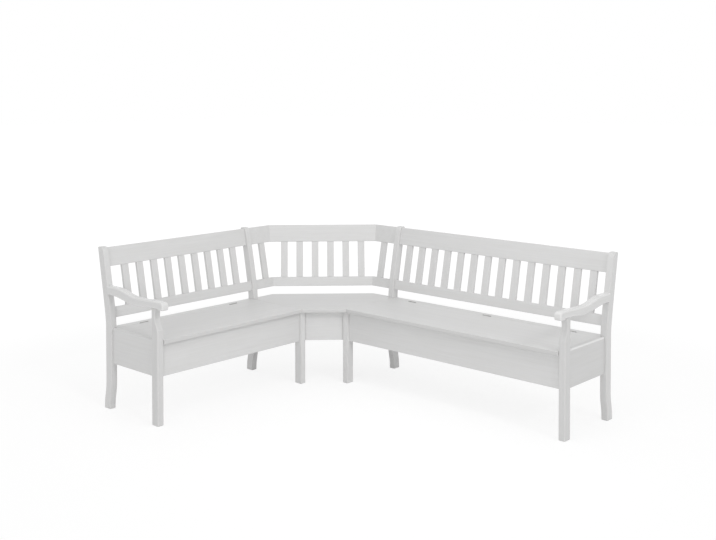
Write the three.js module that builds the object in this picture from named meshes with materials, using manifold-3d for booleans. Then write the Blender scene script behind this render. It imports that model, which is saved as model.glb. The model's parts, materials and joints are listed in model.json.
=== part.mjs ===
// Corner storage bench: a short and a long slatted wing that meet in a three-sided corner.
// Millimetres, +Z up. The long wing runs along +X and the short one along -Y.
// Plan sizes start at the corner point, where the leg lines of the two wings cross.
// A leg line passes through the rear legs, and depths to the rear of it are positive.
import * as THREE from "three";
import { mergeVertices } from "three/addons/utils/BufferGeometryUtils.js";
import Module from "manifold-3d";

const wasm = await Module();
wasm.setup();

// Plan
const longWing = 2161;
const shortWing = 1724.6;
const frameDepth = 454.5;
const cornerReach = 199.6;
const cornerSideFace = 153.1;
const fit = 0.3;

// Heights
const seatTop = 460;
const seatBoard = 22.5;
const panelBottom = 260;
const postHeight = 908;

// Legs and posts, sawn from one thickness of plank
const plank = 38.6;
const legDepth = 53;
const legBehindLine = 25;
const footSweep = 17;
const sweepHeight = 165;
const rearBendReach = 31;
const rearBendEnd = 600;
const rearBendSet = 43;
const frontBendReach = 109;
const frontBendEnd = 590;
const frontBendSet = 11.5;
const postTopRear = 98.8;
const postTopDepth = 49.4;
const plankEdge = 4;
const postTopRoundRise = 45;
const postTopRoundDepth = 22;
const postTopEdge = 5;

// Arm and the support that the end leg becomes above the seat
const armOverhang = 4.5;
const armReach = 50;
const armSeatRise = 172;
const armRiseAtPost = 16;
const armDip = 10;
const armNoseDrop = 5;
const armDepthAtPost = 47;
const armDepthAtDip = 44;
const armDepthAtNose = 44.5;
const armEdge = 8;
const armUnderShares = [0.3, 0.38, 0.7, 0.83, 0.86];
const armTopShares = [0.985, 0.93, 0.76, 0.72, 0.58, 0.32, 0.34, 0.12];
const armNoseShare = 0.85;
const armNoseRound = 14;
const supportDepth = 28;
const supportHollowRise = 45;
const supportHollowDrop = 42;
const supportFlare = 9;
const supportHeel = 18;

// Backrest, set out along its raked front face from the height of the seat's top
const rake = THREE.MathUtils.degToRad(11.2);
const backAtSeat = 25.5;
const railThickness = 22;
const lowerRailStart = 56;
const lowerRailHeight = 59.5;
const slatLength = 228.2;
const topRailHeight = 108.7;
const railEdge = 3;

// Slats
const slatWidth = 43.5;
const slatThickness = 18.5;
const slatEdge = 2.5;
const slatSet = 2;
const tenonWidth = 28;
const tenonThickness = 8;
const tenonLength = 12;
const shortWingSlats = 9;
const shortWingFirstSlat = 112.8;
const shortWingLastSlat = 107.6;
const longWingSlats = 14;
const longWingFirstSlat = 82.4;
const longWingLastSlat = 80.4;
const cornerSlats = 6;
const cornerFirstSlat = 75.1;
const sideFaceSlat = 97.2;

// Seat
const seatOverhang = 12;
const seatNose = 4.5;
const seatEdge = 2.5;
const seatBehindLine = 16;
const cornerBehindLine = 5;
const stripDepth = 50.5;
const lidGap = 3;
const lidEndGap = 1.2;
const battenWidth = 45;
const battenThickness = 16;
const battenInset = 60;
const battenFrontSet = 70;
const battenRearSet = 50;

// Chest
const panelThickness = 20;
const panelRecess = 16;
const endPanelRecess = 12;
const backPanelThickness = 18;
const panelEdge = 2.5;
const endPanelEdge = 8;
const panelTopEdge = 1;
const floorThickness = 9;
const floorLift = 16;
const grooveDepth = 8;

// Lid hinges
const shortWingHinges = 2;
const longWingHinges = 3;
const shortWingHingeInset = 177;
const longWingHingeInset = 168;
const hingeLength = 56;
const hingeEndGap = 1;
const knuckleClearance = 0.6;
const knuckleLength = 18;
const knuckleRadius = 4;
const pinRadius = 2;
const pinHead = 0.5;
const boreClearance = 0.3;
const leafThickness = 1.6;
const leafHeight = 19;
const leafOffset = 2.8;

// How finely round forms are cut into faces
const roundSteps = 3;
const curveSteps = 7;
const barrelSides = 16;
const overrun = 5;

const seatUnder = seatTop - seatBoard;
const armSeat = seatTop + armSeatRise;
const armUnderAtPost = armSeat + armRiseAtPost;
const armTopAtPost = armUnderAtPost + armDepthAtPost;
const armUnderLow = armSeat - armDip;
const armTopLow = armUnderLow + armDepthAtDip;
const armNoseUnder = armSeat - armNoseDrop;
const armTopFront = armNoseUnder + armDepthAtNose;
const jointFrame = frameDepth + cornerReach;
const innerJoint = jointFrame - plank;
const cornerCut = innerJoint - cornerSideFace;
const legFront = frameDepth - legDepth;
const legLineToFront = legDepth - legBehindLine;
const seatFront = frameDepth + seatOverhang;
const hingeLine = stripDepth - seatBehindLine + lidGap / 2;
const topRailStart = lowerRailStart + lowerRailHeight + slatLength;
const mitre = Math.tan(Math.PI / 8);

const paint = new THREE.MeshStandardMaterial({ color: 0xe6e6e3, roughness: 0.45, metalness: 0 });
const insidePaint = new THREE.MeshStandardMaterial({ color: 0xdcdcd8, roughness: 0.6, metalness: 0 });
const steel = new THREE.MeshStandardMaterial({ color: 0x8d8f92, roughness: 0.35, metalness: 1 });

// The short wing runs to the low side of its own X axis and the long wing to the high side.
const leftWing = {
  name: "left", out: -1, length: shortWing, hinges: shortWingHinges, hingeInset: shortWingHingeInset,
  slats: shortWingSlats, firstSlat: shortWingFirstSlat, lastSlat: shortWingLastSlat,
};
const rightWing = {
  name: "right", out: 1, length: longWing, hinges: longWingHinges, hingeInset: longWingHingeInset,
  slats: longWingSlats, firstSlat: longWingFirstSlat, lastSlat: longWingLastSlat,
};

// Solids

function toSolid(geometry) {
  const plain = geometry.index ? geometry.toNonIndexed() : geometry.clone();
  plain.deleteAttribute("normal");
  plain.deleteAttribute("uv");
  const merged = mergeVertices(plain);
  return new wasm.Manifold(
    new wasm.Mesh({
      numProp: 3,
      vertProperties: merged.attributes.position.array,
      triVerts: Uint32Array.from(merged.index.array),
    }),
  );
}

function toGeometry(solid) {
  const mesh = solid.getMesh();
  const geometry = new THREE.BufferGeometry();
  geometry.setAttribute("position", new THREE.BufferAttribute(Float32Array.from(mesh.vertProperties), 3));
  geometry.setIndex(Array.from(mesh.triVerts));
  geometry.computeVertexNormals();
  return geometry;
}

function join(geometries) {
  return toGeometry(geometries.map(toSolid).reduce((whole, next) => whole.add(next)));
}

function cut(geometry, cutters) {
  return toGeometry(cutters.map(toSolid).reduce((whole, next) => whole.subtract(next), toSolid(geometry)));
}

function block(x0, x1, y0, y1, z0, z1) {
  const box = new THREE.BoxGeometry(x1 - x0, y1 - y0, z1 - z0);
  return box.translate((x0 + x1) / 2, (y0 + y1) / 2, (z0 + z1) / 2);
}

function barrel(radius, x0, x1) {
  const cylinder = new THREE.CylinderGeometry(radius, radius, x1 - x0, barrelSides);
  return cylinder.rotateZ(Math.PI / 2).translate((x0 + x1) / 2, 0, 0);
}

function outlineOf(places) {
  return places.map(([across, up]) => new THREE.Vector2(across, up));
}

// Corners listed anticlockwise as [across, up, radius] give an outline with those corners rounded.
function rounded(corners) {
  const outline = [];
  corners.forEach(([across, up, radius], index) => {
    const corner = new THREE.Vector2(across, up);
    if (!radius) {
      outline.push(corner);
      return;
    }
    const before = corners[(index + corners.length - 1) % corners.length];
    const after = corners[(index + 1) % corners.length];
    const start = new THREE.Vector2(before[0], before[1]).sub(corner).setLength(radius).add(corner);
    const end = new THREE.Vector2(after[0], after[1]).sub(corner).setLength(radius).add(corner);
    outline.push(...new THREE.QuadraticBezierCurve(start, corner, end).getPoints(roundSteps));
  });
  return outline;
}

function boardSection(rear0, rear1, low, high, radius) {
  return rounded([
    [rear0, low, radius],
    [rear1, low, radius],
    [rear1, high, radius],
    [rear0, high, radius],
  ]);
}

// A bar of one section. Each station turns a depth behind the leg line into a place in plan,
// so the bar can run straight or turn a mitred corner.
function bar(section, stations) {
  const rings = stations.map((station) => section.map((point) => [...station(point.x), point.y]));
  const positions = rings.flat(2);
  const size = section.length;
  const faces = [];
  THREE.ShapeUtils.triangulateShape(section, []).forEach(([a, b, c]) => {
    const last = (stations.length - 1) * size;
    faces.push(c, b, a, last + a, last + b, last + c);
  });
  for (let ring = 0; ring + 1 < stations.length; ring += 1) {
    section.forEach((_, index) => {
      const a = ring * size + index;
      const b = ring * size + ((index + 1) % size);
      faces.push(a, b, a + size, b, b + size, a + size);
    });
  }
  const geometry = new THREE.BufferGeometry();
  geometry.setAttribute("position", new THREE.Float32BufferAttribute(positions, 3));
  geometry.setIndex(faces);
  geometry.computeVertexNormals();
  return geometry;
}

function straightBar(section, from, to) {
  return bar(section, [(rear) => [from, rear], (rear) => [to, rear]]);
}

function cornerBar(section) {
  const end = innerJoint - fit;
  return bar(section, [
    (rear) => [-rear, -end],
    (rear) => [-rear, -cornerCut + mitre * rear],
    (rear) => [cornerCut - mitre * rear, rear],
    (rear) => [end, rear],
  ]);
}

// A shape drawn as [in front of the leg line, height], sawn from a plank whose outer face is at zero.
function sawn(shape, thickness, edge) {
  const geometry = new THREE.ExtrudeGeometry(shape, {
    depth: thickness - 2 * edge,
    bevelThickness: edge,
    bevelSize: edge,
    bevelOffset: -edge,
    bevelSegments: 2,
    curveSegments: curveSteps,
  });
  geometry.translate(0, 0, edge);
  const toward = new THREE.Vector3(0, -1, 0);
  const up = new THREE.Vector3(0, 0, 1);
  const inward = new THREE.Vector3(-1, 0, 0);
  return geometry.applyMatrix4(new THREE.Matrix4().makeBasis(toward, up, inward));
}

function plate(outline, low, high) {
  const options = { depth: high - low, bevelEnabled: false };
  return new THREE.ExtrudeGeometry(new THREE.Shape(outline), options).translate(0, 0, low);
}

function piece(name, geometry, material, parent) {
  const mesh = new THREE.Mesh(geometry, material);
  mesh.name = name;
  parent.add(mesh);
  return mesh;
}

// Distances from the corner point along a wing, in order along that wing's own X axis
function along(wing, from, to) {
  return wing.out > 0 ? [from, to] : [-to, -from];
}

// Legs and posts

function postFrontAt(height) {
  const rise = (height - frontBendEnd) / (postHeight - frontBendEnd);
  return frontBendSet - rise * (frontBendSet + postTopRear - postTopDepth);
}

function postShape() {
  const rearLean = (postTopRear - rearBendSet) / (postHeight - rearBendEnd);
  const rearTurn = rearBendEnd - (rearBendSet - legBehindLine) / rearLean;
  const frontLean = (frontBendSet + postTopRear - postTopDepth) / (postHeight - frontBendEnd);
  const frontTurn = frontBendEnd - (legLineToFront - frontBendSet) / frontLean;
  const footMiddle = sweepHeight / 2;
  const topFront = postFrontAt(postHeight);
  const shape = new THREE.Shape();
  shape.moveTo(legLineToFront - footSweep, 0);
  shape.bezierCurveTo(
    legLineToFront - footSweep, footMiddle, legLineToFront, footMiddle, legLineToFront, sweepHeight,
  );
  shape.lineTo(legLineToFront, frontTurn - frontBendReach);
  shape.quadraticCurveTo(legLineToFront, frontTurn, frontBendSet, frontBendEnd);
  shape.lineTo(postFrontAt(postHeight - postTopRoundRise), postHeight - postTopRoundRise);
  shape.quadraticCurveTo(topFront, postHeight, topFront - postTopRoundDepth, postHeight);
  shape.lineTo(postTopEdge - postTopRear, postHeight);
  shape.lineTo(-postTopRear, postHeight - postTopEdge);
  shape.lineTo(-rearBendSet, rearBendEnd);
  shape.quadraticCurveTo(-legBehindLine, rearTurn, -legBehindLine, rearTurn - rearBendReach);
  shape.lineTo(-legBehindLine, sweepHeight);
  shape.bezierCurveTo(
    -legBehindLine, footMiddle, -legBehindLine - footSweep, footMiddle, -legBehindLine - footSweep, 0,
  );
  return shape;
}

function endLegShape() {
  const top = armSeat - fit;
  const hollow = legFront + supportDepth;
  const hollowStart = seatTop + supportHollowRise;
  const hollowEnd = armSeat - supportHollowDrop;
  const lowerTurn = (hollowStart + hollowEnd) / 2;
  const upperTurn = (hollowEnd + top) / 2;
  const shape = new THREE.Shape();
  shape.moveTo(legFront, 0);
  shape.lineTo(frameDepth, 0);
  shape.lineTo(frameDepth, hollowStart);
  shape.bezierCurveTo(frameDepth - supportFlare, lowerTurn, hollow, lowerTurn, hollow, hollowEnd);
  shape.quadraticCurveTo(hollow, upperTurn, hollow + supportFlare, top);
  shape.lineTo(legFront, top);
  return shape;
}

function jointLegShape() {
  const top = seatUnder - fit;
  return new THREE.Shape(outlineOf([[legFront, 0], [frameDepth, 0], [frameDepth, top], [legFront, top]]));
}

function armShape() {
  const rearUnder = postFrontAt(armUnderAtPost) - armEdge;
  const rearTop = postFrontAt(armTopAtPost) - armEdge;
  const seatStart = legFront - supportFlare;
  const seatEnd = legFront + supportDepth + supportHeel;
  const armNose = frameDepth + armReach;
  const noseTurn = armNoseUnder + armDepthAtNose * armNoseShare;
  const under = armUnderShares.map((share) => share * legFront);
  const over = armTopShares.map((share) => share * armNose);
  const shape = new THREE.Shape();
  shape.moveTo(rearUnder, armUnderAtPost);
  shape.bezierCurveTo(under[0], armUnderAtPost, under[1], armUnderLow, under[2], armUnderLow);
  shape.bezierCurveTo(under[3], armUnderLow, under[4], armSeat, seatStart, armSeat);
  shape.lineTo(seatEnd, armSeat);
  shape.quadraticCurveTo(seatEnd + supportFlare, armSeat, seatEnd + supportHeel, armNoseUnder);
  shape.lineTo(armNose - armNoseRound, armNoseUnder);
  shape.quadraticCurveTo(armNose, armNoseUnder, armNose, armNoseUnder + armNoseRound);
  shape.bezierCurveTo(armNose, noseTurn, over[0], armTopFront, over[1], armTopFront);
  shape.bezierCurveTo(over[2], armTopFront, over[3], armTopLow, over[4], armTopLow);
  shape.bezierCurveTo(over[5], armTopLow, over[6], armTopAtPost, over[7], armTopAtPost);
  shape.lineTo(rearTop, armTopAtPost);
  return shape;
}

// The arm is drawn a little way into the post, then cut to fit against the post's front face.
function armSolid(thickness) {
  const low = armUnderAtPost - overrun;
  const high = armTopAtPost + overrun;
  const post = outlineOf([
    [-fit - postFrontAt(low), low], [postTopRear, low],
    [postTopRear, high], [-fit - postFrontAt(high), high],
  ]);
  return cut(sawn(armShape(), thickness, armEdge), [straightBar(post, -thickness - overrun, overrun)]);
}

const postGeometry = sawn(postShape(), plank, plankEdge);
const endLegGeometry = sawn(endLegShape(), plank, plankEdge);
const jointLegGeometry = sawn(jointLegShape(), plank, plankEdge);
const armGeometry = armSolid(plank + armOverhang);

// The plank's outer face is at the given distance from the corner point.
function stand(mesh, wing, outerFace, thickness) {
  mesh.position.x = wing.out > 0 ? outerFace : thickness - outerFace;
}

function addFrames(wing, parent) {
  const { name, length } = wing;
  stand(piece(`${name}_end_post`, postGeometry, paint, parent), wing, length, plank);
  stand(piece(`${name}_end_leg`, endLegGeometry, paint, parent), wing, length, plank);
  stand(piece(`${name}_joint_post`, postGeometry, paint, parent), wing, jointFrame, plank);
  stand(piece(`${name}_joint_leg`, jointLegGeometry, paint, parent), wing, jointFrame, plank);
  const armThickness = plank + armOverhang;
  stand(piece(`${name}_arm`, armGeometry, paint, parent), wing, length + armOverhang, armThickness);
}

// Backrest

function rakedGroup(parent) {
  const group = new THREE.Group();
  group.position.set(0, -backAtSeat, seatTop);
  group.rotation.x = -rake;
  parent.add(group);
  return group;
}

function railSection(start, height) {
  return boardSection(0, railThickness, start, start + height, railEdge);
}

function toPlan(section) {
  return section.map(
    ({ x: rear, y: rise }) =>
      new THREE.Vector2(
        rise * Math.sin(rake) + rear * Math.cos(rake) - backAtSeat,
        rise * Math.cos(rake) - rear * Math.sin(rake) + seatTop,
      ),
  );
}

// A stub tenon, or with spare the mortise for it, that starts at a height and runs on upward
function tenon(low, high, spare) {
  const middle = slatSet + slatThickness / 2;
  const halfThickness = tenonThickness / 2 + spare;
  const halfWidth = tenonWidth / 2 + spare;
  return block(-halfWidth, halfWidth, middle - halfThickness, middle + halfThickness, low, high);
}

function slatBody(low, high) {
  const half = slatWidth / 2;
  const section = rounded([
    [-half, slatSet, slatEdge],
    [half, slatSet, slatEdge],
    [half, slatSet + slatThickness, slatEdge],
    [-half, slatSet + slatThickness, slatEdge],
  ]);
  return plate(section, low, high);
}

const slatLow = lowerRailStart + lowerRailHeight;
const upperTenon = tenon(topRailStart - tenonLength, topRailStart + tenonLength, 0);
const lowerTenon = tenon(slatLow - tenonLength, slatLow + tenonLength, 0);
const slatGeometry = join([slatBody(slatLow + fit, topRailStart - fit), upperTenon, lowerTenon]);
const fixedSlatGeometry = join([slatBody(slatLow - tenonLength, topRailStart - fit), upperTenon]);
const upperMortise = tenon(topRailStart - overrun, topRailStart + tenonLength + fit, fit);
const lowerMortise = tenon(slatLow - tenonLength - fit, slatLow + overrun, fit);

function placed(geometry, x) {
  return geometry.clone().translate(x, 0, 0);
}

function slatPlaces(wing) {
  const first = jointFrame + wing.firstSlat;
  const last = wing.length - plank - wing.lastSlat;
  const pitch = (last - first) / (wing.slats - 1);
  return Array.from({ length: wing.slats }, (_, index) => wing.out * (first + index * pitch));
}

// The long wing's slats are glued into its lower rail, and the two are one piece.
function addWingBack(wing, parent) {
  const { name } = wing;
  const group = rakedGroup(parent);
  const [from, to] = along(wing, jointFrame + fit, wing.length - plank - fit);
  const places = slatPlaces(wing);
  const topRail = straightBar(railSection(topRailStart, topRailHeight), from, to);
  const lowerRail = straightBar(railSection(lowerRailStart, lowerRailHeight), from, to);
  piece(`${name}_top_rail`, cut(topRail, places.map((x) => placed(upperMortise, x))), paint, group);
  if (wing.out > 0) {
    const comb = join([lowerRail, ...places.map((x) => placed(fixedSlatGeometry, x))]);
    piece(`${name}_lower_rail_and_slats`, comb, paint, group);
    return;
  }
  piece(`${name}_lower_rail`, cut(lowerRail, places.map((x) => placed(lowerMortise, x))), paint, group);
  places.forEach((x, index) => {
    piece(`${name}_slat_${index + 1}`, slatGeometry, paint, group).position.x = x;
  });
}

function addCornerBack(leftFrame, rightFrame, parent) {
  const middleFace = new THREE.Group();
  middleFace.position.set(cornerCut / 2, -cornerCut / 2, 0);
  middleFace.rotation.z = Math.PI / 4;
  parent.add(middleFace);
  const half = (cornerSlats - 1) / 2;
  const firstSlat = cornerCut / Math.SQRT2 - cornerFirstSlat;
  const middle = rakedGroup(middleFace);
  const sidePlace = innerJoint - sideFaceSlat;
  const slats = [[rakedGroup(leftFrame), -sidePlace]];
  for (let index = 0; index < cornerSlats; index += 1) {
    slats.push([middle, (index / half - 1) * firstSlat]);
  }
  slats.push([rakedGroup(rightFrame), sidePlace]);
  const mortises = { upper: [], lower: [] };
  slats.forEach(([group, x], index) => {
    const slat = piece(`corner_slat_${index + 1}`, slatGeometry, paint, group);
    slat.position.x = x;
    slat.updateWorldMatrix(true, false);
    mortises.upper.push(upperMortise.clone().applyMatrix4(slat.matrixWorld));
    mortises.lower.push(lowerMortise.clone().applyMatrix4(slat.matrixWorld));
  });
  const topRail = cornerBar(toPlan(railSection(topRailStart, topRailHeight)));
  const lowerRail = cornerBar(toPlan(railSection(lowerRailStart, lowerRailHeight)));
  piece("corner_top_rail", cut(topRail, mortises.upper), paint, parent);
  piece("corner_lower_rail", cut(lowerRail, mortises.lower), paint, parent);
}

// Seat

function hingePlaces(wing) {
  const first = jointFrame + lidEndGap + wing.hingeInset;
  const last = wing.length - plank - lidEndGap - wing.hingeInset;
  const step = (last - first) / (wing.hinges - 1);
  return Array.from({ length: wing.hinges }, (_, index) => wing.out * (first + index * step));
}

const leafReach = leafOffset + leafThickness + fit;

function hingeNotches(wing, front, rear) {
  const half = hingeLength / 2 + hingeEndGap;
  return hingePlaces(wing).map((x) =>
    block(x - half, x + half, front, rear, seatUnder - overrun, seatTop + overrun),
  );
}

function seatSection(front, rear) {
  return rounded([
    [-front, seatUnder, seatNose],
    [rear, seatUnder, seatEdge],
    [rear, seatTop, seatEdge],
    [-front, seatTop, seatNose],
  ]);
}

function addLid(wing, parent) {
  const { name } = wing;
  const [from, to] = along(wing, jointFrame + lidEndGap, wing.length - plank - lidEndGap);
  const board = straightBar(seatSection(seatFront, -hingeLine - lidGap / 2), from, to);
  const centre = (from + to) / 2;
  const reach = (to - from) / 2 - battenInset - battenWidth;
  const battens = [-reach, 0, reach].map((offset) =>
    block(
      centre + offset - battenWidth / 2, centre + offset + battenWidth / 2,
      battenFrontSet - frameDepth, -hingeLine - battenRearSet,
      seatUnder - battenThickness, seatUnder + fit,
    ),
  );
  const notches = hingeNotches(wing, -hingeLine - leafReach, -hingeLine);
  piece(`${name}_lid`, cut(join([board, ...battens]), notches), paint, parent);
}

function addStrip(wing, parent) {
  const [from, to] = along(wing, jointFrame + fit, wing.length - plank - fit);
  const section = boardSection(lidGap / 2 - hingeLine, seatBehindLine, seatUnder, seatTop, seatEdge);
  const notches = hingeNotches(wing, -hingeLine, leafReach - hingeLine);
  piece(`${wing.name}_seat_strip`, cut(straightBar(section, from, to), notches), paint, parent);
}

// The corner seat: notched round the two joint posts, with its front edge cut straight across the corner
function addCornerSeat(parent) {
  const postFront = legLineToFront + fit;
  const inner = innerJoint - fit;
  const rearTurn = cornerCut - mitre * cornerBehindLine;
  const outline = outlineOf([
    [seatFront, -jointFrame], [jointFrame, -seatFront],
    [jointFrame, -postFront], [inner, -postFront],
    [inner, cornerBehindLine], [rearTurn, cornerBehindLine],
    [-cornerBehindLine, -rearTurn], [-cornerBehindLine, -inner],
    [postFront, -inner], [postFront, -jointFrame],
  ]);
  const plan = plate(outline, seatUnder - overrun, seatTop + overrun);
  const chord = (seatFront + jointFrame) / Math.SQRT2;
  const nosed = straightBar(seatSection(chord, jointFrame), -longWing, longWing).rotateZ(Math.PI / 4);
  piece("corner_seat", toGeometry(toSolid(plan).intersect(toSolid(nosed))), paint, parent);
}

// Chest

const floorLow = panelBottom + floorLift;
const grooveLow = floorLow - fit;
const grooveHigh = floorLow + floorThickness + fit;

// An upright panel between two depths, with a groove for the chest floor in its front or rear face.
// The top of its plain face can be rounded further than that of the grooved one.
function grooved(rear0, rear1, high, grooveInRear, plainEdge = panelTopEdge) {
  const low = panelBottom;
  const inRear = rear1 - grooveDepth;
  const inFront = rear0 + grooveDepth;
  const rearFace = [[rear1, grooveLow], [inRear, grooveLow], [inRear, grooveHigh], [rear1, grooveHigh]];
  const frontFace = [[rear0, grooveHigh], [inFront, grooveHigh], [inFront, grooveLow], [rear0, grooveLow]];
  return rounded([
    [rear0, low, panelEdge],
    [rear1, low, panelEdge],
    ...(grooveInRear ? rearFace : []),
    [rear1, high, grooveInRear ? panelTopEdge : plainEdge],
    [rear0, high, grooveInRear ? plainEdge : panelTopEdge],
    ...(grooveInRear ? [] : frontFace),
  ]);
}

// The same panel running from front to back, between a front leg and a rear one. Its section is
// drawn looking to the rear, so places along the wing change sign in it.
function crossPanel(x0, x1, high, grooveInHighSide, plainEdge) {
  const section = grooved(-x1, -x0, high, !grooveInHighSide, plainEdge);
  return bar(section, [(across) => [-across, fit - legFront], (across) => [-across, -legLineToFront - fit]]);
}

function addChest(wing, parent) {
  const { name, out, length } = wing;
  const panelTop = seatUnder - fit;
  const [from, to] = along(wing, jointFrame + fit, length - plank - fit);
  const panelFront = panelRecess - frameDepth;
  const panelRear = panelFront + panelThickness;
  const backFront = seatBehindLine - backPanelThickness;
  const front = grooved(panelFront, panelRear, panelTop, true);
  const back = grooved(backFront, seatBehindLine, panelTop, false);
  piece(`${name}_front_panel`, straightBar(front, from, to), paint, parent);
  piece(`${name}_back_panel`, straightBar(back, from, to), insidePaint, parent);

  const [end0, end1] = along(wing, length - plank, length - endPanelRecess);
  const inset = (plank - panelThickness) / 2;
  const [joint0, joint1] = along(wing, jointFrame - plank + inset, jointFrame - inset);
  piece(`${name}_end_panel`, crossPanel(end0, end1, seatTop, out < 0, endPanelEdge), paint, parent);
  piece(`${name}_partition`, crossPanel(joint0, joint1, panelTop, out > 0), insidePaint, parent);

  const tongue = grooveDepth - fit;
  const [wide0, wide1] = along(wing, jointFrame - inset - tongue, length - plank + tongue);
  const frontEdge = panelRear - tongue;
  const rearEdge = backFront + tongue;
  const legEdge = fit - legFront;
  const postEdge = -legLineToFront - fit;
  const outline = outlineOf([
    [from, frontEdge], [to, frontEdge], [to, legEdge],
    [wide1, legEdge], [wide1, postEdge], [to, postEdge],
    [to, rearEdge], [from, rearEdge], [from, postEdge],
    [wide0, postEdge], [wide0, legEdge], [from, legEdge],
  ]);
  piece(`${name}_chest_floor`, plate(outline, floorLow, floorLow + floorThickness), insidePaint, parent);
}

function addCornerPanels(parent) {
  const panelTop = seatUnder - fit;
  const end = innerJoint - fit;
  const front = frameDepth - panelRecess + innerJoint;
  const rear = front - panelThickness * Math.SQRT2;
  const outline = outlineOf([
    [front - end, -end], [end, end - front], [end, end - rear], [rear - end, -end],
  ]);
  piece("corner_front_panel", plate(outline, panelBottom, panelTop), paint, parent);
  const section = boardSection(
    cornerBehindLine - backPanelThickness, cornerBehindLine, panelBottom, panelTop, panelEdge,
  );
  piece("corner_back_panel", cornerBar(section), insidePaint, parent);
}

// Hinges, in their own frame with the pin along X at the origin and the lid on the -Y side

function leafPlate(side) {
  const outer = leafOffset + leafThickness;
  const [near, far] = side > 0 ? [leafOffset, outer] : [-outer, -leafOffset];
  return block(-hingeLength / 2, hingeLength / 2, near, far, -leafHeight, 0);
}

const knuckleEnd = knuckleLength / 2;
const relief = knuckleRadius + knuckleClearance;

function fixedLeaf() {
  const half = hingeLength / 2;
  const middle = block(-knuckleEnd - fit, knuckleEnd + fit, 0, relief, -relief, overrun);
  return join([
    cut(leafPlate(1), [middle]),
    barrel(knuckleRadius, -half, -knuckleEnd - fit),
    barrel(knuckleRadius, knuckleEnd + fit, half),
    barrel(pinRadius, -half - pinHead, half + pinHead),
  ]);
}

function movingLeaf() {
  const half = hingeLength / 2;
  const ends = [[-half - overrun, -knuckleEnd], [knuckleEnd, half + overrun]].map(([from, to]) =>
    block(from, to, -relief, 0, -relief, overrun),
  );
  const whole = join([cut(leafPlate(-1), ends), barrel(knuckleRadius, -knuckleEnd, knuckleEnd)]);
  return cut(whole, [barrel(pinRadius + boreClearance, -knuckleEnd - overrun, knuckleEnd + overrun)]);
}

const fixedLeafGeometry = fixedLeaf();
const movingLeafGeometry = movingLeaf();

function addHinges(wing, parent) {
  hingePlaces(wing).forEach((x, index) => {
    const hinge = new THREE.Group();
    hinge.position.set(x, -hingeLine, seatTop);
    parent.add(hinge);
    piece(`${wing.name}_hinge_${index + 1}_fixed_leaf`, fixedLeafGeometry, steel, hinge);
    piece(`${wing.name}_hinge_${index + 1}_moving_leaf`, movingLeafGeometry, steel, hinge);
  });
}

// Assembly: each wing is built in a frame with X along it and Y to its rear.
const bench = new THREE.Group();

function addWing(wing) {
  const frame = new THREE.Group();
  frame.rotation.z = wing.out > 0 ? 0 : Math.PI / 2;
  bench.add(frame);
  addFrames(wing, frame);
  addWingBack(wing, frame);
  addLid(wing, frame);
  addStrip(wing, frame);
  addChest(wing, frame);
  addHinges(wing, frame);
  return frame;
}

addCornerBack(addWing(leftWing), addWing(rightWing), bench);
addCornerSeat(bench);
addCornerPanels(bench);

// The bench's origin is on the floor, under the middle of its box.
const box = new THREE.Box3().setFromObject(bench, true);
const middle = box.getCenter(new THREE.Vector3());
bench.position.set(-middle.x, -middle.y, 0);
bench.updateMatrixWorld(true);

export default bench;
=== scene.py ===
"""A corner bench painted white: two slatted wings that meet in a three-sided corner.

Metres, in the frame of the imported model: X along the long wing, Y to its rear, Z up.
Boards are finer copies of the frame's own, the curved planks and the fasteners are drawn here.
"""

import json
import math

import bmesh
import bpy
from mathutils import Euler, Matrix, Vector
from mathutils.geometry import interpolate_bezier


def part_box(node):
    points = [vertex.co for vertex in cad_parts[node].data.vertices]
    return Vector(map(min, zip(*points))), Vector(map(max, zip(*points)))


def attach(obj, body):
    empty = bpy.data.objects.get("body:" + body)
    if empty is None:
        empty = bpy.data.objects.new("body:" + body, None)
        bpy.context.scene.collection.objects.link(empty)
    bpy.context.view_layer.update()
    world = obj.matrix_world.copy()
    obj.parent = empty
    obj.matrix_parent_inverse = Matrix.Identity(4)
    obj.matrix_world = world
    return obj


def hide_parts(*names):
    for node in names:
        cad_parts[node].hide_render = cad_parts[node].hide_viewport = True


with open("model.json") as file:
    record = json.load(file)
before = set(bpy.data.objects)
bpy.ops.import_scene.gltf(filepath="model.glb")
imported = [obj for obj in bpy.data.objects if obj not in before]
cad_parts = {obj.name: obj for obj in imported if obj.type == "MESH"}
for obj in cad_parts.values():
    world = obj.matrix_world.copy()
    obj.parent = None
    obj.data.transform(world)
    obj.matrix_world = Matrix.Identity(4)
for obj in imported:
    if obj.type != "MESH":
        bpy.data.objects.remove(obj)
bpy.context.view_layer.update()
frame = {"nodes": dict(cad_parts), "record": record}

MM = 0.001

# Planks
FRAME_DEPTH = 454.5 * MM
LEG_DEPTH = 53 * MM
LEG_BEHIND_LINE = 25 * MM
LEG_LINE_TO_FRONT = LEG_DEPTH - LEG_BEHIND_LINE
LEG_FRONT = FRAME_DEPTH - LEG_DEPTH
FIT = 0.3 * MM
FOOT_SWEEP = 17 * MM
SWEEP_HEIGHT = 165 * MM
POST_HEIGHT = 908 * MM
POST_TOP_REAR = 98.8 * MM
POST_TOP_DEPTH = 49.4 * MM
POST_TOP_ROUND = (45 * MM, 22 * MM)
POST_TOP_EDGE = 5 * MM
SEAT_UNDER = 437.5 * MM

# Bends of a post: how far below its turn each starts, how high it ends, and how far from the
# leg line it is by then
REAR_BEND = (31 * MM, 600 * MM, 43 * MM)
FRONT_BEND = (109 * MM, 590 * MM, 11.5 * MM)

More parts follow.
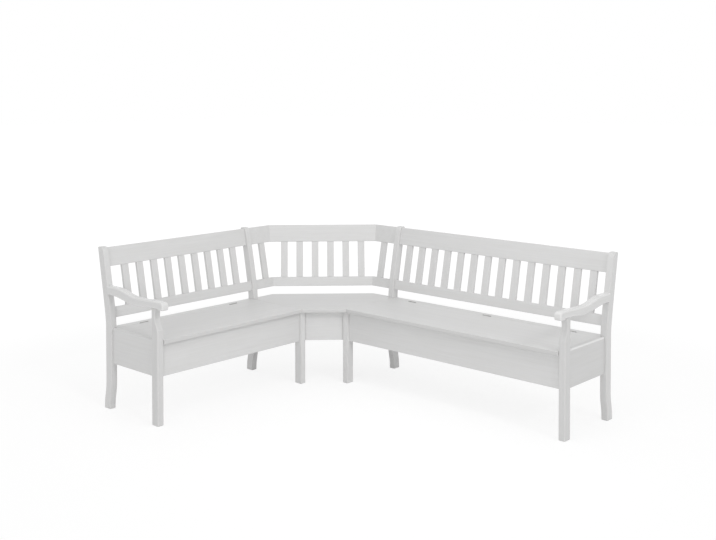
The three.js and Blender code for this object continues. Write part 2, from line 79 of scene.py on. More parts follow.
# Arm: heights as (underside, top), and the points that shape its curves as shares of the way
# from the leg line to the front leg, for the underside, and to the nose, for the top
ARM_NOSE = 504.5 * MM
ARM_SEAT = 632 * MM
ARM_AT_POST = (648 * MM, 695 * MM)
ARM_AT_DIP = (622 * MM, 666 * MM)
ARM_AT_NOSE = (627 * MM, 671.5 * MM)
ARM_UNDER_SHARES = (0.3, 0.38, 0.7, 0.83, 0.86)
ARM_TOP_SHARES = (0.985, 0.93, 0.76, 0.72, 0.58, 0.32, 0.34, 0.12)
ARM_NOSE_SHARE = 0.85
ARM_NOSE_ROUND = 14 * MM

# Support of the arm, which is the front leg's upper end, and how high its hollow starts and ends
SUPPORT_DEPTH = 28 * MM
SUPPORT_FLARE = 9 * MM
SUPPORT_HEEL = 18 * MM
SUPPORT_HOLLOW = (505 * MM, 590 * MM)

# Eased edges
PLANK_EDGE = 4.2 * MM
ARM_EDGE = 8 * MM
BOARD_EDGE = 0.9 * MM
PANEL_EDGE = 0.6 * MM
STEEL_EDGE = 0.1 * MM
PLANK_EDGE_STEPS = 5
BOARD_EDGE_STEPS = 3
STEEL_EDGE_STEPS = 2
SHARP = math.radians(42)
FLAT = math.radians(0.6)
WELD = 0.01 * MM
CURVE_STEPS = 18
ROUND_PROFILE = 0.5
BROAD_FACE_WEIGHT = 80

# How far a face has to turn to a direction, as the cosine of the angle between them
LEVEL = 0.99
FACES_FRONT = 0.7
FACES_UP = 0.5
LEANS = 0.1

# Screws: heads as (share of the radius, up) from the countersink to the crown, rows from the
# middle of a leaf along it and from the leg line along a batten
LEAF_SCREW_RADIUS = 3.3 * MM
BATTEN_SCREW_RADIUS = 4.2 * MM
HEAD = ((0.5, -1.2 * MM), (1.0, 0), (0.96, 0.2 * MM), (0.8, 0.35 * MM))
HEAD_SIDES = 24
CROSS_WIDTH = 0.28
CROSS_LENGTH = 1.2
CROSS_DEPTH = 0.9 * MM
SCREW_TURN = math.radians(37)
LEAF_THICKNESS = 1.6 * MM
LEAF_SCREW_UP = 447 * MM
LEAF_SCREWS = (-20 * MM, 0, 20 * MM)
BATTEN_INSET = 60 * MM
BATTEN_WIDTH = 45 * MM
BATTEN_UNDER = 421.5 * MM
BATTEN_SCREWS = (125 * MM, 235 * MM, 345 * MM)

# Directions: the grain's four, and the way the corner faces
ALONG_X = Vector((1, 0, 0))
ALONG_Y = Vector((0, 1, 0))
UPRIGHT = Vector((0, 0, 1))
ALONG_CORNER = Vector((1, 1, 0)).normalized()
CORNER_FRONT = Vector((1, -1, 0)).normalized()


class Signal:
    """An output socket whose sums become Math nodes."""

    def __init__(self, finish, socket):
        self.finish = finish
        self.socket = socket

    def maths(self, operation, first, second):
        inputs = {0: first, 1: second}
        return self.finish.node("ShaderNodeMath", {"operation": operation}, inputs)

    def __add__(self, other):
        return self.maths("ADD", self, other)

    def __radd__(self, other):
        return self.maths("ADD", other, self)

    def __sub__(self, other):
        return self.maths("SUBTRACT", self, other)

    def __rsub__(self, other):
        return self.maths("SUBTRACT", other, self)

    def __mul__(self, other):
        return self.maths("MULTIPLY", self, other)

    def __rmul__(self, other):
        return self.maths("MULTIPLY", other, self)

    def at_most(self, other):
        return self.maths("MINIMUM", self, other)

    def at_least(self, other):
        return self.maths("MAXIMUM", self, other)


class Finish:
    """A node tree with one method for any node."""

    def __init__(self, owner):
        owner.use_nodes = True
        self.tree = owner.node_tree
        self.tree.nodes.clear()

    def node(self, kind, settings=None, inputs=None, output=0):
        made = self.tree.nodes.new(kind)
        for name, value in (settings or {}).items():
            setattr(made, name, value)
        for name, value in (inputs or {}).items():
            if isinstance(value, Signal):
                self.tree.links.new(value.socket, made.inputs[name])
            else:
                made.inputs[name].default_value = value
        return Signal(self, made.outputs[output]) if made.outputs else made


def grey(level, warmth=0.0):
    """A pale colour of a level, turned towards cream by a warmth."""
    return (level + warmth / 2, level, level - warmth, 1)


# Places of the colours among the sockets of a Mix node
MIX_FIRST = 6
MIX_SECOND = 7
MIX_RESULT = 2

# Marks in a surface: stretch along the grain, pitch across it, detail, distortion
PAINT_MARKS = {
    "figure": (420 * MM, 15 * MM, 4.0, 0.6),
    "fibre": (45 * MM, 1.1 * MM, 2.0, 0.0),
    "brush": (160 * MM, 2.6 * MM, 2.0, 0.0),
    "cloud": (380 * MM, 380 * MM, 2.0, 0.0),
    "stipple": (0.9 * MM, 0.9 * MM, 1.0, 0.0),
}
STEEL_MARKS = {
    "scratch": (30 * MM, 0.3 * MM, 3.0, 0.0),
    "bloom": (12 * MM, 12 * MM, 2.0, 0.0),
}

# What each mark adds to the paint
PAINT_TONE = {"figure": 1.2, "cloud": 0.5, "brush": 0.9}
PAINT_THINNING = {"figure": 1.4, "brush": 0.8, "cloud": 1.0}
PAINT_ROUGHNESS = {"cloud": 0.08, "brush": 0.12, "figure": -0.05}
PAINT_HEIGHT = {"figure": 0.16, "fibre": 0.04, "brush": 0.03, "stipple": 0.01}
EVEN_TONE = 0.5
EVEN_THINNING = 0.35

PAINT_LEVEL = 0.705
PAINT_SPREAD = 0.03
PAINT_WARMTH = 0.006
RUBBED_SHARE = 0.86
RUBBED_WARMTH = 0.02
PAINT_SPECULAR = 0.42
PAINT_COAT = 0.06
PAINT_COAT_ROUGHNESS = 0.25

# What each mark adds to the steel
STEEL_TONE = {"bloom": 1.6}
STEEL_ROUGHNESS = {"scratch": 0.2, "bloom": 0.1}
STEEL_HEIGHT = {"scratch": 0.02}
STEEL_DARK = 0.36
STEEL_BRIGHT = 0.5
STEEL_WARMTH = 0.01
STEEL_DULLNESS = 0.34


def mixed(finish, factor, first, second):
    settings = {"data_type": "RGBA", "clamp_factor": True}
    inputs = {"Factor": factor, MIX_FIRST: first, MIX_SECOND: second}
    return finish.node("ShaderNodeMix", settings, inputs, output=MIX_RESULT)


def marks_in(finish, grain, kinds):
    """Noise for each kind of mark, about zero and mostly within a quarter to each side.
    It is drawn out along the grain, which makes fibres of it."""
    place = finish.node("ShaderNodeTexCoord", output="Object")
    turn = grain.rotation_difference(ALONG_X).to_euler()
    turned = finish.node(
        "ShaderNodeVectorRotate",
        {"rotation_type": "EULER_XYZ"},
        {"Vector": place, "Rotation": turn[:]},
    )
    marks = {}
    for name, (stretch, pitch, detail, distortion) in kinds.items():
        drawn_out = finish.node(
            "ShaderNodeVectorMath",
            {"operation": "MULTIPLY"},
            {0: turned, 1: (1 / stretch, 1 / pitch, 1 / pitch)},
        )
        inputs = {"Vector": drawn_out, "Scale": 1.0, "Detail": detail, "Distortion": distortion}
        marks[name] = finish.node("ShaderNodeTexNoise", None, inputs) - 0.5
    return marks


def weighed(marks, shares, start=0.0):
    return sum((marks[name] * share for name, share in shares.items()), start)


def relief_of(finish, height):
    """The normal of a surface whose height is given in millimetres."""
    return finish.node("ShaderNodeBump", None, {"Height": height, "Distance": MM, "Strength": 1.0})


def cover(finish, inputs):
    """Ends a surface's node tree with a shader that takes these inputs."""
    shader = finish.node("ShaderNodeBsdfPrincipled", None, inputs)
    finish.node("ShaderNodeOutputMaterial", None, {"Surface": shader})


def painted_wood(name, grain, level=PAINT_LEVEL, gloss=0.4, relief=1.0, rubbed=0.0):
    """Satin paint over planed wood. The figure and fibres show as relief, with brush drag along
    them. Where the paint is rubbed thin it is a little darker and duller."""
    material = bpy.data.materials.new(name)
    paint = Finish(material)
    marks = marks_in(paint, grain, PAINT_MARKS)
    tone = weighed(marks, PAINT_TONE, EVEN_TONE)
    dark, bright = grey(level - PAINT_SPREAD, PAINT_WARMTH), grey(level + PAINT_SPREAD)
    colour = mixed(paint, tone, dark, bright)
    if rubbed:
        thin = weighed(marks, PAINT_THINNING, EVEN_THINNING).at_least(0.0).at_most(1.0) * rubbed
        colour = mixed(paint, thin, colour, grey(level * RUBBED_SHARE, RUBBED_WARMTH))
    inputs = {
        "Base Color": colour,
        "Roughness": weighed(marks, PAINT_ROUGHNESS, gloss),
        "Normal": relief_of(paint, weighed(marks, PAINT_HEIGHT) * relief),
        "Specular IOR Level": PAINT_SPECULAR,
        "Coat Weight": PAINT_COAT,
        "Coat Roughness": PAINT_COAT_ROUGHNESS,
    }
    cover(paint, inputs)
    return material


def hinge_steel():
    """Rolled steel, brushed along the hinge, with a slight bloom."""
    material = bpy.data.materials.new("hinge_steel")
    steel = Finish(material)
    marks = marks_in(steel, ALONG_X, STEEL_MARKS)
    tone = weighed(marks, STEEL_TONE, EVEN_TONE)
    inputs = {
        "Base Color": mixed(steel, tone, grey(STEEL_DARK), grey(STEEL_BRIGHT, STEEL_WARMTH)),
        "Metallic": 1.0,
        "Roughness": weighed(marks, STEEL_ROUGHNESS, STEEL_DULLNESS),
        "Normal": relief_of(steel, weighed(marks, STEEL_HEIGHT)),
    }
    cover(steel, inputs)
    return material


# Paints, each broad face first and the eased edges last
GRAINS = {"x": ALONG_X, "y": ALONG_Y, "z": UPRIGHT, "corner": ALONG_CORNER}
PAINTS = {
    key: (
        painted_wood(f"white_paint_{key}", grain),
        painted_wood(f"white_paint_edge_{key}", grain, gloss=0.46, relief=0.5, rubbed=0.35),
    )
    for key, grain in GRAINS.items()
}
# Arms: painted lighter than the other paint, as painted light; their tops and rounded edges lighter
# still and glossier, a painted highlight.
ARM_PAINTS = {
    key: (
        painted_wood(f"arm_paint_{key}", GRAINS[key], level=0.73, gloss=0.34),
        painted_wood(f"arm_paint_polished_{key}", GRAINS[key], level=0.79, gloss=0.28, relief=0.6),
    )
    for key in ("x", "y")
}
# Front legs: the end legs painted darker, as painted shade, and the joint legs lighter, as painted
# light.
LEG_PAINTS = {
    place: (painted_wood(f"{place}_leg_paint", UPRIGHT, level=level), PAINTS["z"][1])
    for place, level in (("end", 0.67), ("joint", 0.745))
}
# Front edges of the seats: painted darker than the tops, as painted shade, and rubbed thin in
# places.
NOSE_PAINTS = {
    key: painted_wood(f"handled_paint_{key}", GRAINS[key], level=0.645, gloss=0.48, rubbed=0.25)
    for key in ("x", "y", "corner")
}
INNER_PAINTS = {
    key: (
        painted_wood(f"inner_paint_{key}", GRAINS[key], level=0.7, gloss=0.6, relief=1.6),
        painted_wood(f"inner_paint_edge_{key}", GRAINS[key], level=0.7, gloss=0.65, rubbed=0.5),
    )
    for key in ("x", "y", "corner")
}
# End panels: the right one painted darker, as painted shade, with its eased edges and rounded top
# much lighter and glossier, a painted highlight.
END_PANEL_PAINTS = {
    "left": PAINTS["x"],
    "right": (
        painted_wood("right_end_paint", ALONG_Y, level=0.67),
        painted_wood("bead_of_paint", ALONG_Y, level=0.87, gloss=0.25, relief=0.3),
    ),
}
STEEL = hinge_steel()


def add_object(name, mesh, body, materials):
    data = bpy.data.meshes.new(name)
    mesh.to_mesh(data)
    mesh.free()
    for material in materials:
        data.materials.append(material)
    data.polygons.foreach_set("use_smooth", [True] * len(data.polygons))
    made = bpy.data.objects.new(name, data)
    bpy.context.scene.collection.objects.link(made)
    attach(made, body)
    return made


def soften(mesh):
    """Keeps an edge crisp where its faces meet sharply."""
    for side in mesh.edges:
        side.smooth = side.calc_face_angle(0.0) < SHARP


def even_out(made):
    """Lets the rounded edges take the shading and keeps broad faces flat."""
    weighted = made.modifiers.new("flat_faces", "WEIGHTED_NORMAL")
    weighted.keep_sharp = True
    weighted.weight = BROAD_FACE_WEIGHT
    return made


def ease(made, width, segments):
    """Rounds the sharp edges of a piece. The rounding takes the piece's last material."""
    bevel = made.modifiers.new("eased_edges", "BEVEL")
    bevel.width = width
    bevel.segments = segments
    bevel.limit_method = "ANGLE"
    bevel.angle_limit = SHARP
    bevel.use_clamp_overlap = False
    bevel.miter_outer = "MITER_ARC"
    bevel.material = len(made.data.materials) - 1
    return even_out(made)


def body_of(node):
    for body, nodes in frame["record"]["behaviour"]["bodies"].items():
        if node in nodes:
            return body
    return None


def board(node, materials, edge=BOARD_EDGE, segments=BOARD_EDGE_STEPS):
    """A finer copy of a board of the frame.
    Facets in one plane become one face, and its arrises are eased."""
    mesh = bmesh.new()
    mesh.from_mesh(frame["nodes"][node].data)
    bmesh.ops.remove_doubles(mesh, verts=mesh.verts, dist=WELD)
    bmesh.ops.dissolve_limit(mesh, angle_limit=FLAT, verts=mesh.verts, edges=mesh.edges)
    made = add_object(f"{node}_finish", mesh, body_of(node), materials)
    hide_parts(node)
    return ease(made, edge, segments)


def paint_faces(made, material, chosen):
    """Gives one of the piece's materials to the faces for which chosen(face) holds."""
    index = made.data.materials.find(material.name)
    for face in made.data.polygons:
        if chosen(face):
            face.material_index = index


def seat_board(node, grain, cross_grain, front):
    """A board that is sat on.
    Its front edge is painted darker, as painted shade, and dulled and rubbed thin by knees; battens
    under it have their own grain."""
    flat, eased = PAINTS[grain]
    batten, _ = PAINTS[cross_grain]
    nose = NOSE_PAINTS[grain]
    made = board(node, (flat, batten, nose, eased))
    # Faces that turn to the front take the nose paint, which carries painted shade.
    paint_faces(made, nose, lambda face: face.normal @ front > FACES_FRONT)
    paint_faces(made, batten, lambda face: face.center.z < SEAT_UNDER - MM)


class Outline:
    """A sawn outline, as (in front of the leg line, up)."""

    def __init__(self, front, up):
        self.points = [Vector((front, up))]

    def line(self, front, up):
        self.points.append(Vector((front, up)))

    def curve(self, first, second, end):
        knots = [Vector(point).to_3d() for point in (self.points[-1], first, second, end)]
        self.points += [point.to_2d() for point in interpolate_bezier(*knots, CURVE_STEPS)[1:]]

    def bend(self, turn, end):
        """A parabola that leaves its last point towards the turn and comes in from there."""
        start, turn, end = self.points[-1], Vector(turn), Vector(end)
        self.curve(start.lerp(turn, 2 / 3), end.lerp(turn, 2 / 3), end)


class Wing:
    """One wing: the ways out from the corner and to the front, and where its leg line passes."""

    def __init__(self, name, out, front, grain, cross_grain):
        self.name = name
        self.out = out
        self.front = front
        self.grain = grain
        self.cross_grain = cross_grain
        rear = max(-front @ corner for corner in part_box(f"{name}_end_post"))
        self.line = rear - POST_TOP_REAR

    def place(self, along, front, up):
        return self.out * along + self.front * (front - self.line) + UPRIGHT * up

    def span(self, node):
        """From the inner to the outer face of a plank, along the wing."""
        ends = [self.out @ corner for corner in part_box(node)]
        return min(ends), max(ends)


def plank(node, wing, outline, materials, edge=PLANK_EDGE, butts=False):
    """A plank sawn to an outline, with its arrises rounded over.
    Where it butts against another, its end, from the outline's last point to its first, stays
    sharp."""
    mesh = bmesh.new()
    inner, outer = wing.span(node)
    rings = []
    for along in (inner, outer):
        rings.append([mesh.verts.new(wing.place(along, *point)) for point in outline.points])
        mesh.faces.new(rings[-1])
    count = len(outline.points)
    for index in range(count):
        after = (index + 1) % count
        mesh.faces.new((rings[0][index], rings[0][after], rings[1][after], rings[1][index]))
    bmesh.ops.recalc_face_normals(mesh, faces=mesh.faces)
    ends = {ring[place] for ring in rings for place in (0, -1)} if butts else set()
    arrises = [
        arris for arris in mesh.edges
        if arris.calc_face_angle() > SHARP and not ends.issuperset(arris.verts)
    ]
    bmesh.ops.bevel(
        mesh,
        geom=arrises,
        offset=edge,
        offset_type="OFFSET",
        segments=PLANK_EDGE_STEPS,
        profile=ROUND_PROFILE,
        affect="EDGES",
        clamp_overlap=False,
        material=len(materials) - 1,
    )
    soften(mesh)
    made = add_object(f"{node}_finish", mesh, body_of(node), materials)
    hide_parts(node)
    return even_out(made)


def cross_faces(mesh, radius):
    """Cuts the outline of a cross into the crown of a head and gives the faces inside it."""
    half_width, half_length = radius * CROSS_WIDTH / 2, radius * CROSS_LENGTH / 2
    for direction in (ALONG_X, ALONG_Y):
        for offset in (-half_length, -half_width, half_width, half_length):
            top = [face for face in mesh.faces if face.normal.z > LEVEL]
            parts = dict.fromkeys(part for face in top for part in (face, *face.edges, *face.verts))
            bmesh.ops.bisect_plane(
                mesh, geom=list(parts), plane_co=direction * offset, plane_no=direction
            )
            mesh.normal_update()
    inside = []
    for face in mesh.faces:
        middle = face.calc_center_median()
        near, far = sorted((abs(middle.x), abs(middle.y)))
        if face.normal.z > LEVEL and near < half_width and far < half_length:
            inside.append(face)
    return inside


def sink(mesh, faces, depth):
    """Lets level faces down into the mesh, with walls round them."""
    corners = dict.fromkeys(corner for face in faces for corner in face.verts)
    low = {corner: mesh.verts.new(corner.co - UPRIGHT * depth) for corner in corners}
    for face in faces:
        mesh.faces.new([low[corner] for corner in face.verts])
        for loop in face.loops:
            if any(other not in faces for other in loop.edge.link_faces):
                first, second = loop.vert, loop.link_loop_next.vert
                mesh.faces.new((first, second, low[second], low[first]))
    bmesh.ops.delete(mesh, geom=faces, context="FACES")


def screw_head(radius):
    """A countersunk head at the origin, facing up, with a cross sunk into its crown."""
    mesh = bmesh.new()
    turns = [index / HEAD_SIDES * math.tau for index in range(HEAD_SIDES)]
    rings = []
    for share, up in HEAD:
        reach = share * radius
        ring = [(math.cos(turn) * reach, math.sin(turn) * reach, up) for turn in turns]
        rings.append([mesh.verts.new(place) for place in ring])
    for low, high in zip(rings, rings[1:]):
        for index in range(HEAD_SIDES):
            after = (index + 1) % HEAD_SIDES
            mesh.faces.new((low[index], low[after], high[after], high[index]))
    mesh.faces.new(rings[0][::-1])
    mesh.faces.new(rings[-1])
    mesh.normal_update()
    sink(mesh, cross_faces(mesh, radius), CROSS_DEPTH)
    data = bpy.data.meshes.new("screw_head")
    mesh.to_mesh(data)
    mesh.free()
    return data


def screws(name, body, radius, places, facing):
    """Screws in a row, their crosses turned as they were driven."""
    head = screw_head(radius)
    mesh = bmesh.new()
    to_face = UPRIGHT.rotation_difference(facing).to_matrix().to_4x4()
    for index, place in enumerate(places):
        known = len(mesh.verts)
        mesh.from_mesh(head)
        turn = Matrix.Translation(place) @ to_face @ Matrix.Rotation(index * SCREW_TURN, 4, "Z")
        bmesh.ops.transform(mesh, matrix=turn, verts=list(mesh.verts)[known:])
    soften(mesh)
    add_object(name, mesh, body, [STEEL])
    bpy.data.meshes.remove(head)


def post_front_at(up):
    """How far a post's front face stands in front of the leg line, above its bend."""
    _, bend_end, bend_set = FRONT_BEND
    rise = (up - bend_end) / (POST_HEIGHT - bend_end)
    return bend_set - rise * (bend_set + POST_TOP_REAR - POST_TOP_DEPTH)


def post_outline():
    """A rear post, from its curved foot up the rake to its rounded top and down again."""
    rear_reach, rear_end, rear_set = REAR_BEND
    front_reach, front_end, front_set = FRONT_BEND
    rear_lean = (POST_TOP_REAR - rear_set) / (POST_HEIGHT - rear_end)
    rear_turn = rear_end - (rear_set - LEG_BEHIND_LINE) / rear_lean
    front_lean = (front_set + POST_TOP_REAR - POST_TOP_DEPTH) / (POST_HEIGHT - front_end)
    front_turn = front_end - (LEG_LINE_TO_FRONT - front_set) / front_lean
    middle = SWEEP_HEIGHT / 2
    round_rise, round_depth = POST_TOP_ROUND
    shoulder = POST_HEIGHT - round_rise
    top_front = post_front_at(POST_HEIGHT)
    outline = Outline(LEG_LINE_TO_FRONT - FOOT_SWEEP, 0)
    outline.curve(
        (LEG_LINE_TO_FRONT - FOOT_SWEEP, middle),
        (LEG_LINE_TO_FRONT, middle),
        (LEG_LINE_TO_FRONT, SWEEP_HEIGHT),
    )
    outline.line(LEG_LINE_TO_FRONT, front_turn - front_reach)
    outline.bend((LEG_LINE_TO_FRONT, front_turn), (front_set, front_end))
    outline.line(post_front_at(shoulder), shoulder)
    outline.bend((top_front, POST_HEIGHT), (top_front - round_depth, POST_HEIGHT))
    outline.line(POST_TOP_EDGE - POST_TOP_REAR, POST_HEIGHT)
    outline.line(-POST_TOP_REAR, POST_HEIGHT - POST_TOP_EDGE)
    outline.line(-rear_set, rear_end)
    outline.bend((-LEG_BEHIND_LINE, rear_turn), (-LEG_BEHIND_LINE, rear_turn - rear_reach))
    outline.line(-LEG_BEHIND_LINE, SWEEP_HEIGHT)
    outline.curve(
        (-LEG_BEHIND_LINE, middle),
        (-LEG_BEHIND_LINE - FOOT_SWEEP, middle),
        (-LEG_BEHIND_LINE - FOOT_SWEEP, 0),
    )
    return outline


def end_leg_outline():
    """The front leg of a free end, hollowed above the seat into the support of the arm."""
    top = ARM_SEAT - FIT
    hollow = LEG_FRONT + SUPPORT_DEPTH
    hollow_start, hollow_end = SUPPORT_HOLLOW
    turn = (hollow_start + hollow_end) / 2
    outline = Outline(LEG_FRONT, 0)
    outline.line(FRAME_DEPTH, 0)
    outline.line(FRAME_DEPTH, hollow_start)
    outline.curve((FRAME_DEPTH - SUPPORT_FLARE, turn), (hollow, turn), (hollow, hollow_end))
    outline.bend((hollow, (hollow_end + top) / 2), (hollow + SUPPORT_FLARE, top))
    outline.line(LEG_FRONT, top)
    return outline


def joint_leg_outline():
    """The straight front leg where a wing meets the corner."""
    top = SEAT_UNDER - FIT
    outline = Outline(LEG_FRONT, 0)
    outline.line(FRAME_DEPTH, 0)
    outline.line(FRAME_DEPTH, top)
    outline.line(LEG_FRONT, top)
    return outline


def arm_outline():
    """A scrolled arm: along its underside from the post to the nose, and back over its top."""
    post_under, post_top = ARM_AT_POST
    dip_under, dip_top = ARM_AT_DIP
    nose_under, nose_top = ARM_AT_NOSE
    under = [share * LEG_FRONT for share in ARM_UNDER_SHARES]
    over = [share * ARM_NOSE for share in ARM_TOP_SHARES]
    seat_start = LEG_FRONT - SUPPORT_FLARE
    seat_end = LEG_FRONT + SUPPORT_DEPTH + SUPPORT_HEEL
    nose_turn = nose_under + (nose_top - nose_under) * ARM_NOSE_SHARE
    outline = Outline(post_front_at(post_under) + FIT, post_under)
    outline.curve((under[0], post_under), (under[1], dip_under), (under[2], dip_under))
    outline.curve((under[3], dip_under), (under[4], ARM_SEAT), (seat_start, ARM_SEAT))
    outline.line(seat_end, ARM_SEAT)
    outline.bend((seat_end + SUPPORT_FLARE, ARM_SEAT), (seat_end + SUPPORT_HEEL, nose_under))
    outline.line(ARM_NOSE - ARM_NOSE_ROUND, nose_under)
    outline.bend((ARM_NOSE, nose_under), (ARM_NOSE, nose_under + ARM_NOSE_ROUND))
    outline.curve((ARM_NOSE, nose_turn), (over[0], nose_top), (over[1], nose_top))
    outline.curve((over[2], nose_top), (over[3], dip_top), (over[4], dip_top))
    outline.curve((over[5], dip_top), (over[6], post_top), (over[7], post_top))
    outline.line(post_front_at(post_top) + FIT, post_top)
    return outline


def build_wing(wing):
    """A wing's planks and boards, but for its lower rail, slats and hinges."""
    name = wing.name
    for place in ("end", "joint"):
        plank(f"{name}_{place}_post", wing, post_outline(), PAINTS["z"])
    plank(f"{name}_end_leg", wing, end_leg_outline(), LEG_PAINTS["end"])
    plank(f"{name}_joint_leg", wing, joint_leg_outline(), LEG_PAINTS["joint"])
    # The arm's upturned faces and rounded edges take the painted highlight.
    plain, painted_highlight = ARM_PAINTS[wing.cross_grain]
    arm = plank(f"{name}_arm", wing, arm_outline(), (plain, painted_highlight), ARM_EDGE, butts=True)
    paint_faces(arm, painted_highlight, lambda face: face.normal.z > FACES_UP)
    for part in ("seat_strip", "top_rail", "front_panel"):
        board(f"{name}_{part}", PAINTS[wing.grain])
    seat_board(f"{name}_lid", wing.grain, wing.cross_grain, wing.front)
    board(f"{name}_end_panel", END_PANEL_PAINTS[name])
    for part, grain in (
        ("back_panel", wing.grain),
        ("chest_floor", wing.grain),
        ("partition", wing.cross_grain),
    ):
        board(f"{name}_{part}", INNER_PAINTS[grain], PANEL_EDGE)


def leaf_screw_places(wing, kind):
    """Where screws hold the fixed or the moving leaves, on the faces that turn to each other."""
    places = []
    for node in frame["nodes"]:
        if node.startswith(f"{wing.name}_hinge_") and node.endswith(f"{kind}_leaf"):
            middle = sum(wing.span(node)) / 2
            rear, front = sorted(wing.front @ corner + wing.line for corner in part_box(node))
            face = rear + LEAF_THICKNESS if kind == "fixed" else front - LEAF_THICKNESS
            places += [wing.place(middle + offset, face, LEAF_SCREW_UP) for offset in LEAF_SCREWS]
    return places


def batten_screw_places(wing):
    """Where screws hold the battens under the lid."""
    inner, outer = wing.span(f"{wing.name}_lid")
    middle, reach = (inner + outer) / 2, (outer - inner) / 2 - BATTEN_INSET - BATTEN_WIDTH
    battens = [middle + offset for offset in (-reach, 0, reach)]
    return [wing.place(along, front, BATTEN_UNDER) for along in battens for front in BATTEN_SCREWS]


def fasten_wing(wing):
    """The screws of a wing's hinges and of the battens under its lid."""
    name, strip, lid = wing.name, f"{wing.name}_seat_strip", f"{wing.name}_lid"
    for row, carrier, radius, places, facing in (
        ("fixed_leaf", strip, LEAF_SCREW_RADIUS, leaf_screw_places(wing, "fixed"), wing.front),
        ("moving_leaf", lid, LEAF_SCREW_RADIUS, leaf_screw_places(wing, "moving"), -wing.front),
        ("batten", lid, BATTEN_SCREW_RADIUS, batten_screw_places(wing), -UPRIGHT),
    ):
        screws(f"{name}_{row}_screws", body_of(carrier), radius, places, facing)


def build_lower_rails_and_slats():
    """The long wing's slats are one piece with their rail, so its faces tell which is which."""
    board("left_lower_rail", PAINTS["y"])
    rail_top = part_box("left_lower_rail")[1].z
    slat, _ = PAINTS["z"]
    rail, eased = PAINTS["x"]
    made = board("right_lower_rail_and_slats", (slat, rail, eased))
    paint_faces(made, rail, lambda face: face.center.z < rail_top)


def build_slats_and_hinges():
    for node in frame["nodes"]:
        if "_slat_" in node:
            board(node, PAINTS["z"])
        if "leaf" in node:
            board(node, [STEEL], STEEL_EDGE, STEEL_EDGE_STEPS)


def build_corner():
    for part in ("top_rail", "lower_rail", "front_panel"):
        board(f"corner_{part}", PAINTS["corner"])
    seat_board("corner_seat", "corner", "corner", CORNER_FRONT)
    board("corner_back_panel", INNER_PAINTS["corner"], PANEL_EDGE)


def paint_end_panel_highlight():
    """Gives the rounded top of the long wing's end panel, under the end of the lid, the painted
    highlight
    that its eased edges have: paint much lighter and glossier than the rest."""
    panel = bpy.data.objects["right_end_panel_finish"]
    _, end_highlight = END_PANEL_PAINTS["right"]
    paint_faces(panel, end_highlight, lambda face: face.normal.x > LEANS and face.normal.z > LEANS)


WINGS = [
    Wing("left", -ALONG_Y, ALONG_X, "y", "x"),
    Wing("right", ALONG_X, -ALONG_Y, "x", "y"),
]
for wing in WINGS:
    build_wing(wing)
    fasten_wing(wing)
build_lower_rails_and_slats()
build_slats_and_hinges()
build_corner()
paint_end_panel_highlight()


# Studio

# Camera, as fitted to the picture
PHOTO_WIDTH = 716
PHOTO_HEIGHT = 540
FOCAL_PIXELS = 1015.41
CENTRE_PIXEL = (341.708, 114.778)
CAMERA_PLACE = Vector((3.7947, -4.1579, 1.809))
CAMERA_TURN = math.radians(43.032)
CAMERA_TILT = math.radians(1.555)
CAMERA_ROLL = math.radians(-0.072)
SENSOR_WIDTH = 36.0


def add_camera():
    data = bpy.data.cameras.new("camera")
    data.sensor_width = SENSOR_WIDTH
    data.lens = FOCAL_PIXELS / PHOTO_WIDTH * SENSOR_WIDTH
    data.shift_x = (PHOTO_WIDTH / 2 - CENTRE_PIXEL[0]) / PHOTO_WIDTH
    data.shift_y = (CENTRE_PIXEL[1] - PHOTO_HEIGHT / 2) / PHOTO_WIDTH
    camera = bpy.data.objects.new("camera", data)
    turn = Euler((math.pi / 2 - CAMERA_TILT, 0, CAMERA_TURN)).to_matrix().to_4x4()
    roll = Matrix.Rotation(CAMERA_ROLL, 4, "Z")
    camera.matrix_world = Matrix.Translation(CAMERA_PLACE) @ turn @ roll
    bpy.context.scene.collection.objects.link(camera)
    bpy.context.scene.camera = camera


# Light: the share that comes from all round, and the lamps with place, size and power
AMBIENT = 0.635
LAMPS = [
    ("front_right", Vector((20.168, -3.556, 14.839)), 4.5, 830.0),
    ("front_left", Vector((12.31, -21.322, 4.841)), 8.0, 680.0),
    ("left", Vector((-2.52, -6.93, 5.66)), 3.0, 12.0),
    ("back", Vector((-6.147, 1.647, 6.864)), 3.0, 34.0),
    ("over_long_wing", Vector((0.9, -0.3, 2.2)), 1.0, 5.8),
    ("over_corner", Vector((1, -1, 3.4)), 1.5, 4.0),
]
LAMPS_AIM = Vector((0, 0, 0.5))
WHITE = (1, 1, 1, 1)


def seen_or_mirrored(finish):
    """One for camera rays and for rays that a shiny or clear surface sends out, else zero."""
    kinds = ("Is Camera Ray", "Is Glossy Ray", "Is Transmission Ray")
    rays = [finish.node("ShaderNodeLightPath", output=kind) for kind in kinds]
    return sum(rays, 0.0).at_most(1.0)


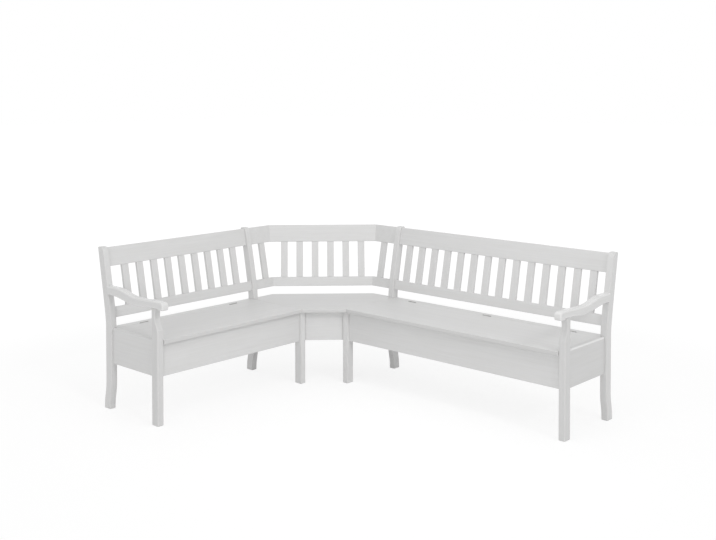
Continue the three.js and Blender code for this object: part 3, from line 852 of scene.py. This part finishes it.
def light_studio():
    """White all round where it is seen or mirrored, dimmer as a light, with a few soft lamps."""
    world = bpy.data.worlds.new("studio")
    bpy.context.scene.world = world
    sky = Finish(world)
    strength = AMBIENT + seen_or_mirrored(sky) * (1 - AMBIENT)
    background = sky.node("ShaderNodeBackground", None, {"Color": WHITE, "Strength": strength})
    sky.node("ShaderNodeOutputWorld", None, {"Surface": background})
    for name, place, size, power in LAMPS:
        data = bpy.data.lights.new(name, "AREA")
        data.size = size
        data.energy = power
        lamp = bpy.data.objects.new(name, data)
        lamp.location = place
        lamp.rotation_euler = (LAMPS_AIM - place).to_track_quat("-Z", "Y").to_euler()
        bpy.context.scene.collection.objects.link(lamp)


# Floor: how white it is, and how its shadow fades from the middle out
FLOOR_REACH = 40.0
FLOOR_LEVEL = 0.95
FLOOR_GLOW = 1.06
FLOOR_GLOW_SHARE = 0.76
SHADOW_START = 2.2
SHADOW_END = 4.5


def add_floor():
    """A white floor that keeps the bench's soft shadow."""
    mesh = bmesh.new()
    corners = [(-1, -1), (1, -1), (1, 1), (-1, 1)]
    mesh.faces.new([mesh.verts.new((x * FLOOR_REACH, y * FLOOR_REACH, 0)) for x, y in corners])
    data = bpy.data.meshes.new("floor")
    mesh.to_mesh(data)
    mesh.free()
    material = bpy.data.materials.new("floor")
    white = Finish(material)
    shaded = white.node("ShaderNodeBsdfDiffuse", None, {"Color": grey(FLOOR_LEVEL)})
    glow = white.node("ShaderNodeEmission", None, {"Color": WHITE, "Strength": FLOOR_GLOW})
    place = white.node("ShaderNodeTexCoord", output="Object")
    distance = white.node("ShaderNodeVectorMath", {"operation": "LENGTH"}, {0: place}, "Value")
    fade = {
        "Value": distance,
        "From Min": SHADOW_START,
        "From Max": SHADOW_END,
        "To Min": FLOOR_GLOW_SHARE,
        "To Max": 1.0,
    }
    away = white.node("ShaderNodeMapRange", {"interpolation_type": "SMOOTHSTEP"}, fade)
    share = seen_or_mirrored(white) * away
    floor_shader = white.node("ShaderNodeMixShader", None, {0: share, 1: shaded, 2: glow})
    white.node("ShaderNodeOutputMaterial", None, {"Surface": floor_shader})
    data.materials.append(material)
    floor = bpy.data.objects.new("floor", data)
    bpy.context.scene.collection.objects.link(floor)


add_camera()
light_studio()
add_floor()
bpy.context.scene.view_settings.view_transform = "Standard"
